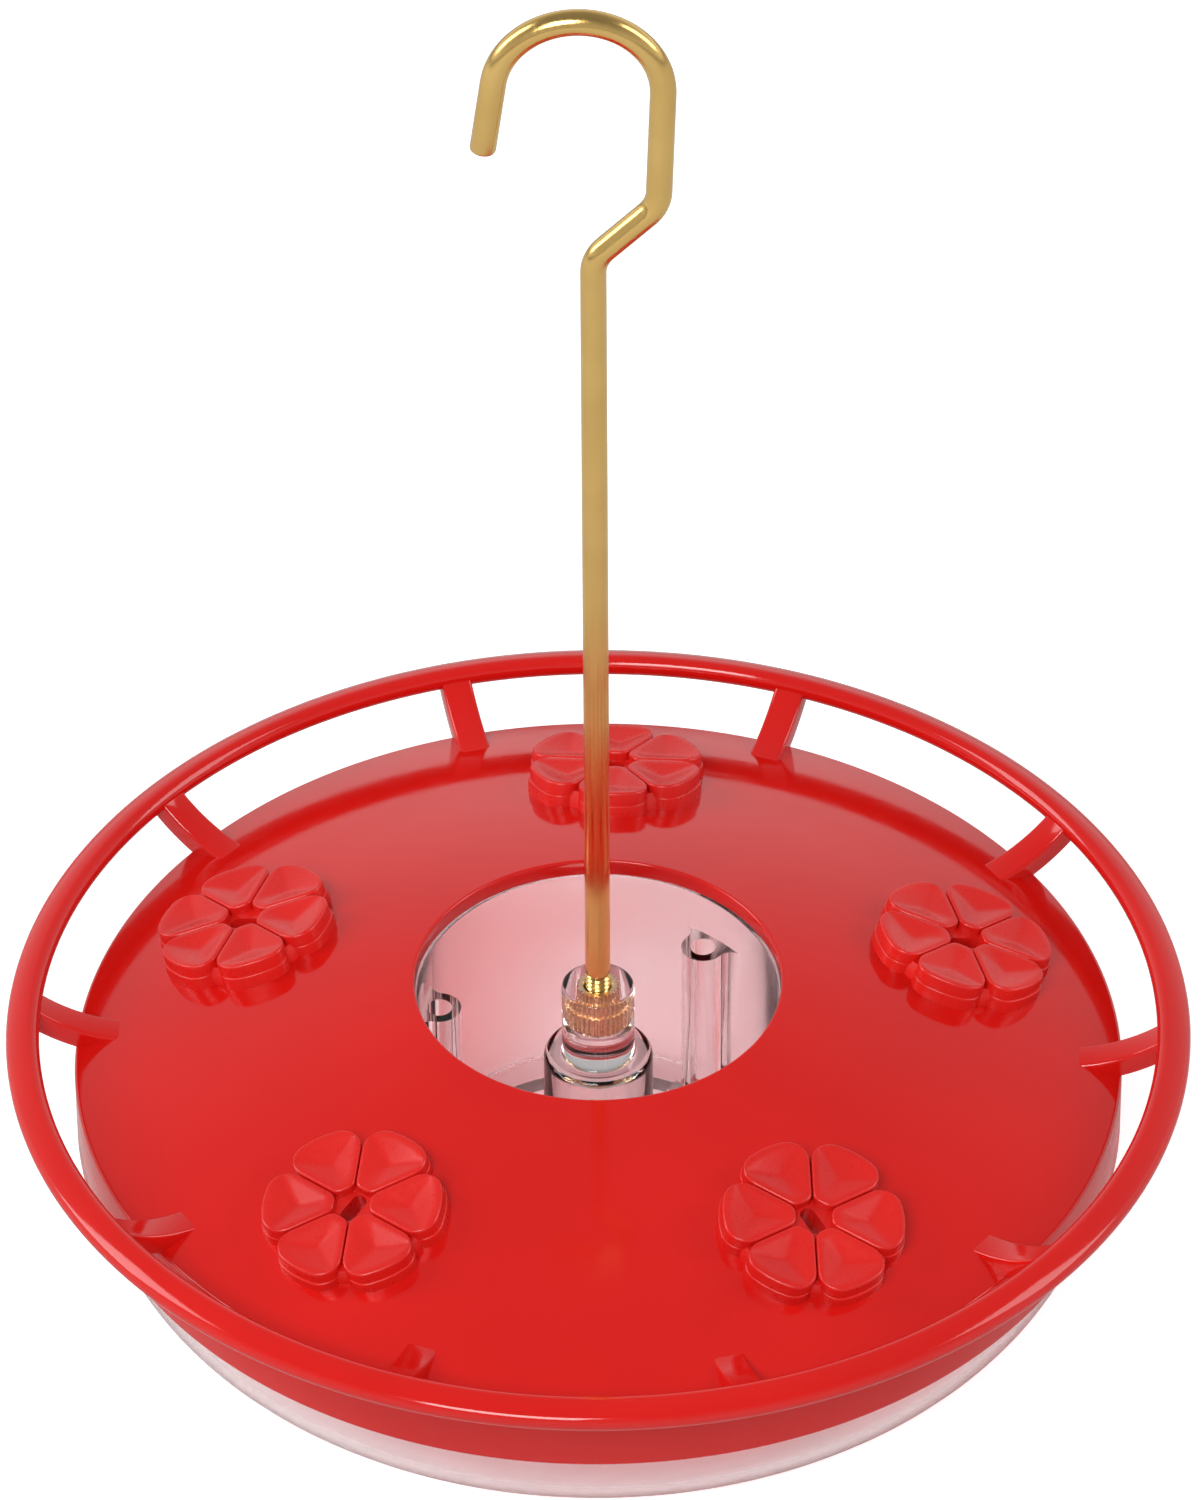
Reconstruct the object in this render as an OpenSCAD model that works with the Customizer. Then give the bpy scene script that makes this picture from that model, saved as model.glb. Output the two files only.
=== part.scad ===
// Hanging nectar feeder: a clear bowl with an ant moat and a hub, a red cover with flower ports and
// a perch ring, and a bent brass rod that screws into the hub. Millimetres, the bowl's base on z = 0.

/* [Cover] */
// Outside radius of the cover at the lower end of its roof
cover_r = 99.7; // [94:0.1:102]
// Radius of the hole in the middle of the cover
hole_r = 34.75; // [32:0.25:37]
// Height of the hole's rim above the base
rim_z = 56.2; // [54:0.1:60]
// Height of the roof's outer edge above the base
eave_z = 37.7; // [36:0.1:40]
// Height of the skirt under the roof's edge
skirt_h = 14.2; // [10:0.1:18]
// Wall of the cover
cover_wall = 1.8; // [1.4:0.1:2.4]
// Depth of the collar that turns down round the hole
collar_h = 3.6; // [3:0.1:6]
// Rounding of the roof's outer edge
eave_round = 1.4; // [0.6:0.1:1.6]
// Rounding of the hole's rim
rim_round = 0.8; // [0.3:0.1:0.8]

/* [Flower ports] */
// Number of flower ports
flowers = 5; // [3:1:5]
// Turn of the back flower from straight back
flower_turn = 3; // [0:1:20]
// Distance of a flower's centre from the cover's axis, along the roof's plan
flower_pitch_r = 71.7; // [66:0.1:74]
// Radius of a flower
flower_r = 17.6; // [15:0.1:19]
// Height of a flower above the roof
flower_h = 4.8; // [4.4:0.1:6]
// Height of the step in a flower's side
flower_step_h = 2.2; // [1.2:0.1:2.6]
// Width of the step in a flower's side
flower_step_w = 0.4; // [0.2:0.1:0.8]
// Petals of a flower
petals = 6; // [4:1:7]
// Width of the groove between two petals
petal_groove_w = 0.4; // [0.2:0.1:0.8]
// Depth of the groove between two petals
petal_groove_h = 2.0; // [1.5:0.1:2.4]
// Rounding of a petal's outer corners
petal_corner_r = 4; // [3:0.1:5]
// Width of the raised border round a petal's dish
petal_border_w = 1.0; // [0.6:0.1:1.6]
// Depth of a petal's dish
petal_dish_h = 1.5; // [0.8:0.1:1.8]
// Wall under the petals and round the feed slot
flower_wall = 1.7; // [1.2:0.1:2.2]
// Radius of the recess in the middle of a flower
throat_r = 3.6; // [3:0.1:4.5]
// Depth of that recess below the petals
throat_h = 3.6; // [2.5:0.1:4.2]
// Length of the feed slot
slot_len = 4.2; // [3.2:0.1:5]
// Width of the feed slot
slot_w = 2.5; // [1.5:0.1:2.8]

/* [Perch] */
// Outside radius of the perch ring
perch_outer_r = 112.5; // [108:0.1:120]
// Height of the perch ring's middle above the base
perch_z = 45.3; // [43:0.1:48]
// Rounding radius of the ring's oval section
perch_round = 2.08; // [1.8:0.02:2.6]
// Half the distance between the two ends' centres of the oval
perch_spread = 1.2; // [0.6:0.1:2]
// Tilt of the oval, outer end down
perch_tilt = 22; // [0:1:40]
// Struts between two flowers
struts_per_flower = 2; // [1:1:2]
// Width of a strut
strut_w = 6; // [4:0.1:8]
// Thickness of a strut
strut_t = 4.3; // [3:0.1:5]
// Radius at which a strut's foot leaves the roof
strut_foot_r = 91.2; // [89.5:0.1:94]
// Slope of a strut's foot where it leaves the roof
strut_foot_slope = 6; // [0:1:12]
// Height of the strut's top end above the ring's inner centre
strut_end_h = 1.8; // [0.5:0.1:1.9]

/* [Bowl] */
// Radius of the curve between base and side
base_curve_r = 14; // [8:0.5:18]
// Draft of the bowl's side
side_draft = 1; // [0:0.5:2]
// Wall of the bowl
bowl_wall = 2.0; // [1.6:0.1:2.6]
// Radius of the moat's floor
moat_floor_r = 33.5; // [33.4:0.1:34]
// Height of the moat's floor above the base
moat_floor_z = 10; // [6:0.5:16]
// How far the moat's rim stands inside the cover's hole
moat_lip = 0.35; // [0.2:0.05:0.6]
// Screw tubes in the moat
tubes = 3; // [2:1:4]
// Direction of the first screw tube
tube_turn = 49; // [40:1:60]
// Distance of a screw tube from the axis
tube_pitch_r = 30.8; // [29.5:0.1:31]
// Outside radius of a screw tube
tube_r = 4.2; // [3.6:0.1:4.6]
// Radius of a screw tube's hole
tube_hole_r = 2.4; // [1.5:0.1:2.6]
// Height of a screw tube's top above the base
tube_top_z = 44; // [38:0.1:46]
// Fillet between a screw tube and the moat's wall
tube_fillet_r = 2.5; // [1:0.1:3]

/* [Hub] */
// Radius of the hub's lower column
column_r = 11; // [10:0.1:12]
// Height of the column's ledge above the base
column_top_z = 38.5; // [30:0.1:42]
// Rounding of the column's ledge
column_round = 2; // [0.5:0.1:2.6]
// Radius of the hub's upper part
hub_r = 7.35; // [6.8:0.05:8]
// Height of the hub's top above the base
hub_top_z = 54.5; // [52:0.1:58]
// Chamfer of the hub's top edge
hub_chamfer = 0.6; // [0.3:0.1:1]

/* [Threaded insert] */
// Radius of the insert's knurled bands
insert_r = 4.0; // [3.6:0.05:4.6]
// Length of the insert
insert_len = 9; // [7:0.1:10]
// Depth of the groove between the knurled bands
insert_groove_h = 0.5; // [0.3:0.1:0.8]
// Width of the groove between the knurled bands
insert_groove_w = 1.4; // [0.8:0.1:2]
// Ribs round a knurled band
knurl_ribs = 28; // [20:1:36]
// Depth of the knurl
knurl_h = 0.25; // [0.15:0.05:0.35]

/* [Hook rod] */
// Radius of the rod
rod_r = 2.38; // [2:0.01:2.5]
// How far the rod's end stays above the insert's lower end
rod_end_gap = 0.8; // [0.4:0.1:2]
// Height of the rod's first bend above the base
bend_z = 222; // [190:1:250]
// Radius of the two small bends
bend_r = 7.5; // [6:0.5:10]
// Slant of the rod between the two small bends
bend_angle = 45; // [30:1:50]
// Length of the slanting part
slant_len = 10.5; // [8:0.5:14]
// Length of the straight side of the hook
hook_side_len = 21.2; // [15:0.1:30]
// Lean of the hook's straight side
hook_side_lean = 2; // [0:1:4]
// Radius of the hook's round top
hook_r = 15.1; // [13:0.1:18]
// Length of the hook's free leg
hook_leg_len = 14.6; // [8:0.1:20]
// Lean of the hook's free leg
hook_leg_lean = 8; // [0:1:10]
// Chamfer at the rod's ends
rod_chamfer = 0.4; // [0.2:0.1:0.6]

/* [Clearances] */
// Gap between the cover's skirt and the bowl's side
skirt_gap = 0.5; // [0.3:0.1:0.8]
// Gap under the cover where it rests on the bowl
seat_gap = 0.1; // [0.05:0.05:0.2]
// Gap between the rod and the insert's hole
thread_gap = 0.05; // [0.03:0.01:0.08]
// How much larger the knurled insert is than its pocket
press_bite = 0.1; // [0.05:0.05:0.15]

/* [Hidden] */
$fn = 96;
// overshoot of cutting shapes past the faces that they cut
over = 1;
// a bend thins the rod a little, and the straight stretches lap into it
bend_slim = 0.01;
bend_lap = 0.05;
// a fillet runs this far into the walls that it meets
fillet_bite = 0.1;
// a turned rounding is made of narrow cones, one for at most this many degrees
round_step = 15;
// rise of the roof for each millimetre inwards, its angle, and its wall measured upright
roof_rise = (rim_z - eave_z) / (cover_r - hole_r);
roof_angle = atan(roof_rise);
roof_wall = cover_wall / cos(roof_angle);
skirt_z = eave_z - skirt_h;
collar_z = rim_z - collar_h;
// the bowl fits inside the skirt, under the roof and under the collar
bowl_rim_r = cover_r - cover_wall - skirt_gap;
bowl_rim_z = roof_z(bowl_rim_r) - roof_wall - seat_gap;
moat_rim_r = hole_r - moat_lip;
moat_rim_z = collar_z - seat_gap;
moat_draft = (moat_rim_r - moat_floor_r) / (moat_rim_z - moat_floor_z);
// the curve between base and side touches both, and its centre follows from the side's draft
curve_c = [bowl_rim_r + ((base_curve_r - bowl_rim_z) * sin(side_draft) - base_curve_r)
    / cos(side_draft), base_curve_r];
side_normal = [cos(side_draft), -sin(side_draft)];
// the ring's oval section
perch_r = perch_outer_r - perch_round - perch_spread * cos(perch_tilt);
perch_half = perch_spread * [cos(perch_tilt), -sin(perch_tilt)];
perch_in = [perch_r, perch_z] - perch_half;
perch_out = [perch_r, perch_z] + perch_half;
// a strut's upper face is an arc from its foot on the roof to the ring's inner side
foot = [strut_foot_r, roof_z(strut_foot_r) - 0.1];
strut_end = perch_in + [0, strut_end_h];
foot_normal = [-sin(strut_foot_slope), cos(strut_foot_slope)];
strut_chord = strut_end - foot;
strut_arc_r = (strut_chord * strut_chord) / (2 * (strut_chord * foot_normal));
strut_arc_c = foot + strut_arc_r * foot_normal;
struts = flowers * struts_per_flower;
flower_sink = cover_wall * 2 / 3;
pocket_top = flower_h - petal_dish_h - flower_wall;
core_r = column_r - bowl_wall;
core_top_z = column_top_z - bowl_wall;
insert_z = hub_top_z - insert_len;
insert_hole_r = rod_r + thread_gap;
pocket_r = insert_r - press_bite;
rod_z = insert_z + rod_end_gap;

// height of the roof's upper face at a radius
function roof_z(r) = rim_z - (r - hole_r) * roof_rise;
// radius of the moat's inside at a height
function moat_r(z) = moat_floor_r + (z - moat_floor_z) * moat_draft;
function unit(a) = [cos(a), sin(a)];
// points of an arc from one direction to another
function arc_points(centre, r, from, to, steps) =
    [for (i = [0 : steps]) centre + r * unit(from + (to - from) * i / steps)];
function rounding(centre, r, from, to) =
    arc_points(centre, r, from, to, ceil(abs(to - from) / round_step));
// direction of a flower and of a strut, counted round from the back
function flower_dir(i) = 90 - flower_turn - i * 360 / flowers;
function strut_dir(i) = 90 - flower_turn - (i + 0.5) * 360 / struts;

// what a rounding takes off an outside corner whose edges leave it at angles a and b
module corner_waste(corner, a, b, r) {
    mid = unit((a + b) / 2);
    centre = corner + mid * r / sin((b - a) / 2);
    polygon([corner - mid * 0.2, each rounding(centre, r, a - 90, b - 270)]);
}

// cover: the roof with its skirt and its collar, as the half section that is turned round the axis
module cover_section() {
    difference() {
        polygon([
            [hole_r, collar_z],
            [hole_r, rim_z],
            [cover_r, eave_z],
            [cover_r, skirt_z],
            [cover_r - cover_wall, skirt_z],
            [cover_r - cover_wall, roof_z(cover_r - cover_wall) - roof_wall],
            [hole_r + cover_wall, roof_z(hole_r + cover_wall) - roof_wall],
            [hole_r + cover_wall, collar_z]
        ]);
        corner_waste([cover_r, eave_z], 180 - roof_angle, 270, eave_round);
        corner_waste([hole_r, rim_z], -90, -roof_angle, rim_round);
    }
}

// places its children on the roof at a flower, x outwards and z square to the roof
module on_roof(dir) {
    rotate([0, 0, dir])
        translate([flower_pitch_r, 0, roof_z(flower_pitch_r)])
            rotate([0, roof_angle, 0]) children();
}

// outline of one petal that points along x, drawn in by a margin: a wedge with round outer corners
module petal_outline(margin) {
    half = 180 / petals;
    gap = petal_groove_w / 2 + margin;
    corner = petal_corner_r - margin;
    out = flower_r - petal_corner_r;
    bend = half - asin((gap + corner) / out);
    polygon([
        [gap / sin(half), 0],
        each arc_points(out * unit(-bend), corner, -90 - half, -bend, 5),
        each arc_points([0, 0], out + corner, -bend / 3, bend / 3, 1),
        each arc_points(out * unit(bend), corner, bend, 90 + half, 5)
    ]);
}

// the dish is a cone that lies along the petal and dips towards its outer end
module petal_dish() {
    half_width = flower_r * tan(180 / petals);
    curve = (pow(half_width, 2) + pow(petal_dish_h, 2)) / (2 * petal_dish_h);
    translate([0, 0, flower_h - petal_dish_h + curve])
        rotate([0, 90, 0])
            cylinder(h = flower_r + over, r1 = curve - petal_dish_h * 0.7, r2 = curve);
}

// one petal: the lower step, and the upper part with its dish inside a raised border
module petal() {
    translate([0, 0, -flower_sink])
        linear_extrude(flower_sink + flower_step_h) petal_outline(0);
    difference() {
        translate([0, 0, flower_step_h / 2])
            linear_extrude(flower_h - flower_step_h / 2) petal_outline(flower_step_w);
        intersection() {
            translate([0, 0, flower_h - petal_dish_h - over])
                linear_extrude(petal_dish_h + 2 * over)
                    petal_outline(flower_step_w + petal_border_w);
            petal_dish();
        }
    }
}

// a flower as it stands on the roof, before anything is cut from it
module flower_body() {
    translate([0, 0, -flower_sink])
        cylinder(h = flower_sink + flower_h - petal_groove_h, r = flower_r - petal_corner_r);
    for (i = [0 : petals - 1])
        rotate([0, 0, i * 360 / petals]) petal();
}

// a slot with round ends, along x
module slot_outline(len, width) {
    square([len - width, width], center = true);
    for (s = [1, -1])
        translate([s * (len - width) / 2, 0]) circle(d = width);
}

// what is cut from a flower: the throat, the feed slot and the hollow under the petals
module flower_cuts() {
    translate([0, 0, flower_h - throat_h]) cylinder(h = throat_h + over, r = throat_r);
    translate([0, 0, -cover_wall - over])
        linear_extrude(cover_wall + flower_h) slot_outline(slot_len, slot_w);
    translate([0, 0, -cover_wall - over])
        difference() {
            cylinder(h = cover_wall + over + pocket_top, r = flower_r - petal_corner_r - flower_wall);
            translate([0, 0, -over])
                cylinder(h = cover_wall + 4 * over + pocket_top, r = throat_r + flower_wall);
        }
}

// the perch ring's section
module perch_section() {
    translate([perch_r, perch_z]) rotate([0, 0, -perch_tilt])
        polygon([
            each rounding([perch_spread, 0], perch_round, -90, 90),
            each rounding([-perch_spread, 0], perch_round, 90, 270)
        ]);
}

// side view of a strut: a slice between two arcs that starts in the roof and ends in the ring
module strut_side() {
    root_r = cover_r - cover_wall / 2;
    back_r = strut_foot_r - strut_w;
    intersection() {
        difference() {
            translate(strut_arc_c) circle(max(abs(strut_arc_r), abs(strut_arc_r + strut_t)));
            translate(strut_arc_c) circle(min(abs(strut_arc_r), abs(strut_arc_r + strut_t)));
        }
        polygon([
            [back_r, roof_z(back_r) - roof_wall / 2],
            [root_r, roof_z(root_r) - roof_wall / 2],
            [root_r, eave_z - strut_t],
            [perch_out[0], eave_z - strut_t],
            perch_out,
            strut_end,
            [back_r, strut_end[1]]
        ]);
    }
}

module strut() {
    rotate([90, 0, 0])
        translate([0, 0, -strut_w / 2]) linear_extrude(strut_w) strut_side();
}

module cover() {
    color([0.83, 0.07, 0.06])
        difference() {
            union() {
                rotate_extrude() cover_section();
                rotate_extrude() perch_section();
                for (i = [0 : struts - 1])
                    rotate([0, 0, strut_dir(i)]) strut();
                for (i = [0 : flowers - 1])
                    on_roof(flower_dir(i)) flower_body();
            }
            for (i = [0 : flowers - 1])
                on_roof(flower_dir(i)) flower_cuts();
        }
}

// the space inside the bowl's outline, drawn in by a margin
module dish_area(margin, top) {
    side = curve_c + side_normal * (base_curve_r - margin);
    lean = tan(side_draft);
    polygon([
        [moat_floor_r, margin],
        each rounding(curve_c, base_curve_r - margin, -90, -side_draft),
        [side[0] + (top - side[1]) * lean, top],
        [moat_floor_r, top]
    ]);
}

// half section of the hub: a cored column with a rounded ledge, and the part that holds the insert
module hub_section() {
    difference() {
        polygon([
            [core_r, moat_floor_z - bowl_wall],
            [column_r, moat_floor_z - bowl_wall],
            [column_r, column_top_z],
            [hub_r, column_top_z],
            [hub_r, hub_top_z - hub_chamfer],
            [hub_r - hub_chamfer, hub_top_z],
            [pocket_r, hub_top_z],
            [pocket_r, insert_z],
            [0, insert_z],
            [0, core_top_z],
            [core_r, core_top_z]
        ]);
        corner_waste([column_r, column_top_z], 180, 270, column_round);
    }
}

// half section of the bowl
module bowl_section() {
    difference() {
        dish_area(0, bowl_rim_z);
        dish_area(bowl_wall, bowl_rim_z + over);
    }
    polygon([
        [moat_r(0), 0],
        [moat_r(0) + bowl_wall, 0],
        [moat_rim_r + bowl_wall, moat_rim_z],
        [moat_rim_r, moat_rim_z]
    ]);
    polygon([
        [core_r, moat_floor_z - bowl_wall],
        [moat_floor_r + bowl_wall / 2, moat_floor_z - bowl_wall],
        [moat_floor_r + bowl_wall / 2, moat_floor_z],
        [core_r, moat_floor_z]
    ]);
    hub_section();
}

// plan of a screw tube that points along x, with the fillets that join it to the moat's wall
module tube_plan() {
    wall_r = moat_r(tube_top_z) + fillet_bite;
    reach = wall_r - tube_fillet_r;
    turn = acos((pow(reach, 2) + pow(tube_pitch_r, 2) - pow(tube_r + tube_fillet_r - fillet_bite, 2))
        / (2 * reach * tube_pitch_r));
    translate([tube_pitch_r, 0]) circle(tube_r);
    difference() {
        polygon([
            [tube_pitch_r, 0],
            reach * unit(-turn),
            (wall_r + bowl_wall) * unit(-turn),
            (wall_r + bowl_wall) * unit(turn),
            reach * unit(turn)
        ]);
        for (s = [1, -1])
            translate(reach * unit(s * turn)) circle(tube_fillet_r);
    }
}

module screw_tubes() {
    low = moat_floor_z - bowl_wall / 2;
    intersection() {
        for (i = [0 : tubes - 1])
            rotate([0, 0, tube_turn + i * 360 / tubes])
                translate([0, 0, low]) linear_extrude(tube_top_z - low) tube_plan();
        cylinder(h = moat_rim_z, r1 = moat_r(0) + bowl_wall / 2, r2 = moat_rim_r + bowl_wall / 2);
    }
}

module screw_tube_holes() {
    low = moat_floor_z - bowl_wall - over;
    for (i = [0 : tubes - 1])
        rotate([0, 0, tube_turn + i * 360 / tubes])
            translate([tube_pitch_r, 0, low])
                cylinder(h = tube_top_z + over - low, r = tube_hole_r);
}

module bowl() {
    color([0.90, 0.86, 0.87, 0.5])
        difference() {
            union() {
                rotate_extrude() bowl_section();
                screw_tubes();
            }
            screw_tube_holes();
        }
}

// a knurled band of the insert, standing on z = 0
module knurled_band(h) {
    rib = 2 * PI * insert_r / knurl_ribs / 2;
    cylinder(h = h, r = insert_r - knurl_h);
    for (i = [0 : knurl_ribs - 1])
        rotate([0, 0, i * 360 / knurl_ribs])
            intersection() {
                translate([0, -rib / 2, 0]) cube([insert_r, rib, h]);
                cylinder(h = h, r = insert_r);
            }
}

module threaded_insert() {
    band = (insert_len - insert_groove_w) / 2;
    color([0.80, 0.66, 0.36])
        translate([0, 0, insert_z])
            difference() {
                union() {
                    cylinder(h = insert_len, r = insert_r - insert_groove_h);
                    knurled_band(band);
                    translate([0, 0, insert_len - band]) knurled_band(band);
                }
                translate([0, 0, -over]) cylinder(h = insert_len + 2 * over, r = insert_hole_r);
            }
}

// a straight stretch of the rod; what follows starts at its end
module straight(len) {
    translate([0, 0, -bend_lap]) cylinder(h = len + 2 * bend_lap, r = rod_r);
    translate([0, 0, len]) children();
}

// a bend of the rod towards +x; what follows starts at its end
module bend_right(radius, angle) {
    translate([radius, 0, 0])
        rotate([90, 0, 0]) rotate([0, 0, 180 - angle])
            rotate_extrude(angle = angle) translate([radius, 0]) circle(rod_r - bend_slim);
    translate([radius, 0, 0]) rotate([0, angle, 0]) translate([-radius, 0, 0]) children();
}

module bend_left(radius, angle) {
    mirror([1, 0, 0]) bend_right(radius, angle) mirror([1, 0, 0]) children();
}

module hook_rod() {
    color([0.80, 0.66, 0.36])
        translate([0, 0, rod_z]) {
            cylinder(h = rod_chamfer, r1 = rod_r - rod_chamfer, r2 = rod_r);
            translate([0, 0, rod_chamfer + bend_lap])
                straight(bend_z - rod_z - rod_chamfer - bend_lap)
                bend_right(bend_r, bend_angle)
                straight(slant_len)
                bend_left(bend_r, bend_angle - hook_side_lean)
                straight(hook_side_len)
                bend_left(hook_r, 180 + hook_side_lean - hook_leg_lean)
                straight(hook_leg_len - rod_chamfer - bend_lap)
                translate([0, 0, bend_lap])
                    cylinder(h = rod_chamfer, r1 = rod_r, r2 = rod_r - rod_chamfer);
        }
}

cover();
bowl();
threaded_insert();
hook_rod();
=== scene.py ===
"""Hanging nectar feeder: a red cover with flower ports and a perch ring, a clear bowl, a brass hook rod."""
import math
import bmesh
import bpy
from mathutils import Matrix, Vector


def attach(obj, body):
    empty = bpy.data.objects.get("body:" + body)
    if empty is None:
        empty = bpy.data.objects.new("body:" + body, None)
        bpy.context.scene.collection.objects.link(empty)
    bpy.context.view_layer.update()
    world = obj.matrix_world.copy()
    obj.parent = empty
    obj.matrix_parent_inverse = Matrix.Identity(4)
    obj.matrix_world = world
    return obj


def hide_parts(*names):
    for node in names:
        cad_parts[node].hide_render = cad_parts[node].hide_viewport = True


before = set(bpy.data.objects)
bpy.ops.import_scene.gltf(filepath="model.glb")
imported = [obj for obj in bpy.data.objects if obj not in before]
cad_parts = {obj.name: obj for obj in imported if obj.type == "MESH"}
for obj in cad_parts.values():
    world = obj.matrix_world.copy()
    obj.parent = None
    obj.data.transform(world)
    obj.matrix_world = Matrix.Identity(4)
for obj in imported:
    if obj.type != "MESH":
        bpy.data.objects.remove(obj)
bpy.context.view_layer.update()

# Steps of a full turn: 1.5 degrees each, so every flower's direction falls on a step
TURN_STEPS = 240

# The cover's roof, in millimetres, as the cone that the CAD has
HOLE_R = 34.75
RIM_Z = 56.2
COVER_R = 99.7
EAVE_Z = 37.7
COVER_WALL = 1.8
SKIRT_Z = 23.5
COLLAR_Z = 52.6
ROOF_RISE = (RIM_Z - EAVE_Z) / (COVER_R - HOLE_R)
ROOF_ANGLE = math.atan(ROOF_RISE)
ROOF_WALL = COVER_WALL / math.cos(ROOF_ANGLE)

# Flower ports
FLOWER_PITCH_R = 71.7
FLOWER_R = 17.6
FLOWER_TOP = 4.8
FLOWER_STEP = 2.2
THROAT_R = 3.6
THROAT_FLOOR = 2.8
PORT_DEPTH = 4.5
WINDOW_REACH = 3.4
UPPER_PETAL_R = FLOWER_R - 0.4
FLOWER_TURNS = [87 - 72 * i for i in range(5)]
STRUT_TURNS = [69 - 36 * i for i in range(10)]

# Perch ring
PERCH_R = 109.307
PERCH_Z = 45.3
PERCH_ROUND = 2.08
PERCH_SPREAD = 1.2
PERCH_TILT = math.radians(22)
STRUT_FOOT_R = 91.2
STRUT_WIDTH = 6.0
STRUT_THICKNESS = 4.3

# Bowl and hub
BOWL_RIM_R = 97.4
BOWL_RIM_Z = 36.35
BOWL_WALL = 2
SIDE_DRAFT = math.radians(1)
FOOT_ROUND = 22
FOOT_ROUND_INSIDE = 20
MOAT_FLOOR_R = 33.5
MOAT_FLOOR_Z = 10
MOAT_RIM_R = 34.4
MOAT_RIM_Z = 52.5
MOAT_FLARE = 0.9
COLUMN_R = 10.4
COLUMN_TOP_Z = 38.5
COLUMN_HOLLOW_R = 9
COLUMN_HOLLOW_Z = 36.5
HUB_R = 6.9
HUB_TOP_Z = 54.5
POCKET_R = 3.1
POCKET_Z = 45.7
TUBE_PITCH_R = 30.8
TUBE_R = 4.2
TUBE_HOLE_R = 2.4
TUBE_FILLET_R = 2.5
TUBE_TURNS = [49, 169, 289]
TUBE_TOP_Z = 44

# Threaded insert
INSERT_R = 4.0
INSERT_VALLEY_R = 3.5
INSERT_LENGTH = 9
INSERT_HOLE_R = 2.45
COUNTERSINK_R = 2.9
KNURL_RIBS = 28

# Rod
ROD_R = 2.38
ROD_Z = 46.3
THREAD_TOP_Z = 58.0
THREAD_PITCH = 1.0
THREAD_HEIGHT = 0.42
BEND_Z = 222
BEND_R = 7.5
HOOK_R = 15.1
HOOK_LEG = 14.6


def roof_z(r):
    """Height of the roof's upper face at a radius."""
    return RIM_Z - (r - HOLE_R) * ROOF_RISE


def turned(profile, closed=True, steps=TURN_STEPS):
    """A bmesh of a half section, given as (radius, height) points, turned round the upright axis."""
    bm = bmesh.new()
    points = [bm.verts.new((r, 0, z)) for r, z in profile]
    ends = points[1:] + points[:1] if closed else points[1:]
    sides = [bm.edges.new(pair) for pair in zip(points, ends)]
    bmesh.ops.spin(bm, geom=points + sides, cent=(0, 0, 0), axis=(0, 0, 1), angle=2 * math.pi,
                   steps=steps, use_merge=True)
    bmesh.ops.remove_doubles(bm, verts=bm.verts, dist=0.001)
    bmesh.ops.recalc_face_normals(bm, faces=bm.faces)
    return bm


def round_ring(bm, r, z, size, segments=4):
    """Rounds the edge that runs round the axis at a radius and height."""
    def on_ring(v):
        return abs(math.hypot(v.co.x, v.co.y) - r) < 0.02 and abs(v.co.z - z) < 0.02
    edges = [e for e in bm.edges if on_ring(e.verts[0]) and on_ring(e.verts[1])]
    bmesh.ops.bevel(bm, geom=edges, offset=size, offset_type="OFFSET", segments=segments, profile=0.5,
                    affect="EDGES", material=-1, clamp_overlap=True)


def arc(bm, start, centre, degrees, steps):
    """Draws an arc of edges in the XY plane from a vertex, and gives the vertex at its end."""
    spun = bmesh.ops.spin(bm, geom=[start], cent=centre, axis=(0, 0, 1), angle=math.radians(degrees),
                          steps=steps)
    return [g for g in spun["geom_last"] if isinstance(g, bmesh.types.BMVert)][0]


def fill_outline(bm):
    """Closes an outline of edges with one face that looks up."""
    bmesh.ops.remove_doubles(bm, verts=bm.verts, dist=0.001)
    face = bmesh.ops.contextual_create(bm, geom=bm.edges[:])["faces"][0]
    face.normal_update()
    if face.normal.z < 0:
        face.normal_flip()
    return face


def put_in_scene(bm, name, material, smooth_angle=35):
    """Makes the object, in metres, with soft shading between faces that meet at a small angle."""
    bmesh.ops.scale(bm, vec=(0.001, 0.001, 0.001), verts=bm.verts)
    mesh = bpy.data.meshes.new(name)
    bm.to_mesh(mesh)
    bm.free()
    mesh.materials.append(material)
    piece = bpy.data.objects.new(name, mesh)
    bpy.context.scene.collection.objects.link(piece)
    soften(piece, smooth_angle)
    return piece


def soften(piece, smooth_angle):
    """Soft shading, apart from edges sharper than an angle in degrees."""
    for polygon in piece.data.polygons:
        polygon.use_smooth = True
    piece.data.set_sharp_from_angle(angle=math.radians(smooth_angle))


def combine(piece, others, operation):
    """Joins other solids to a piece, or cuts them from it, and removes them."""
    for other in others:
        step = piece.modifiers.new("combine", "BOOLEAN")
        step.object = other
        step.operation = operation
        step.solver = "EXACT"
    graph = bpy.context.evaluated_depsgraph_get()
    result = bpy.data.meshes.new_from_object(piece.evaluated_get(graph))
    piece.modifiers.clear()
    piece.data = result
    for other in others:
        bpy.data.objects.remove(other)


def belongs(piece, body, node):
    """Says which CAD body and node a piece stands for."""
    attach(piece, body)
    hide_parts(node)


# Finishes


def new_material(name):
    """An empty node material with its Principled shader."""
    material = bpy.data.materials.new(name)
    material.use_nodes = True
    tree = material.node_tree
    return material, tree, tree.nodes["Principled BSDF"]


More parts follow.
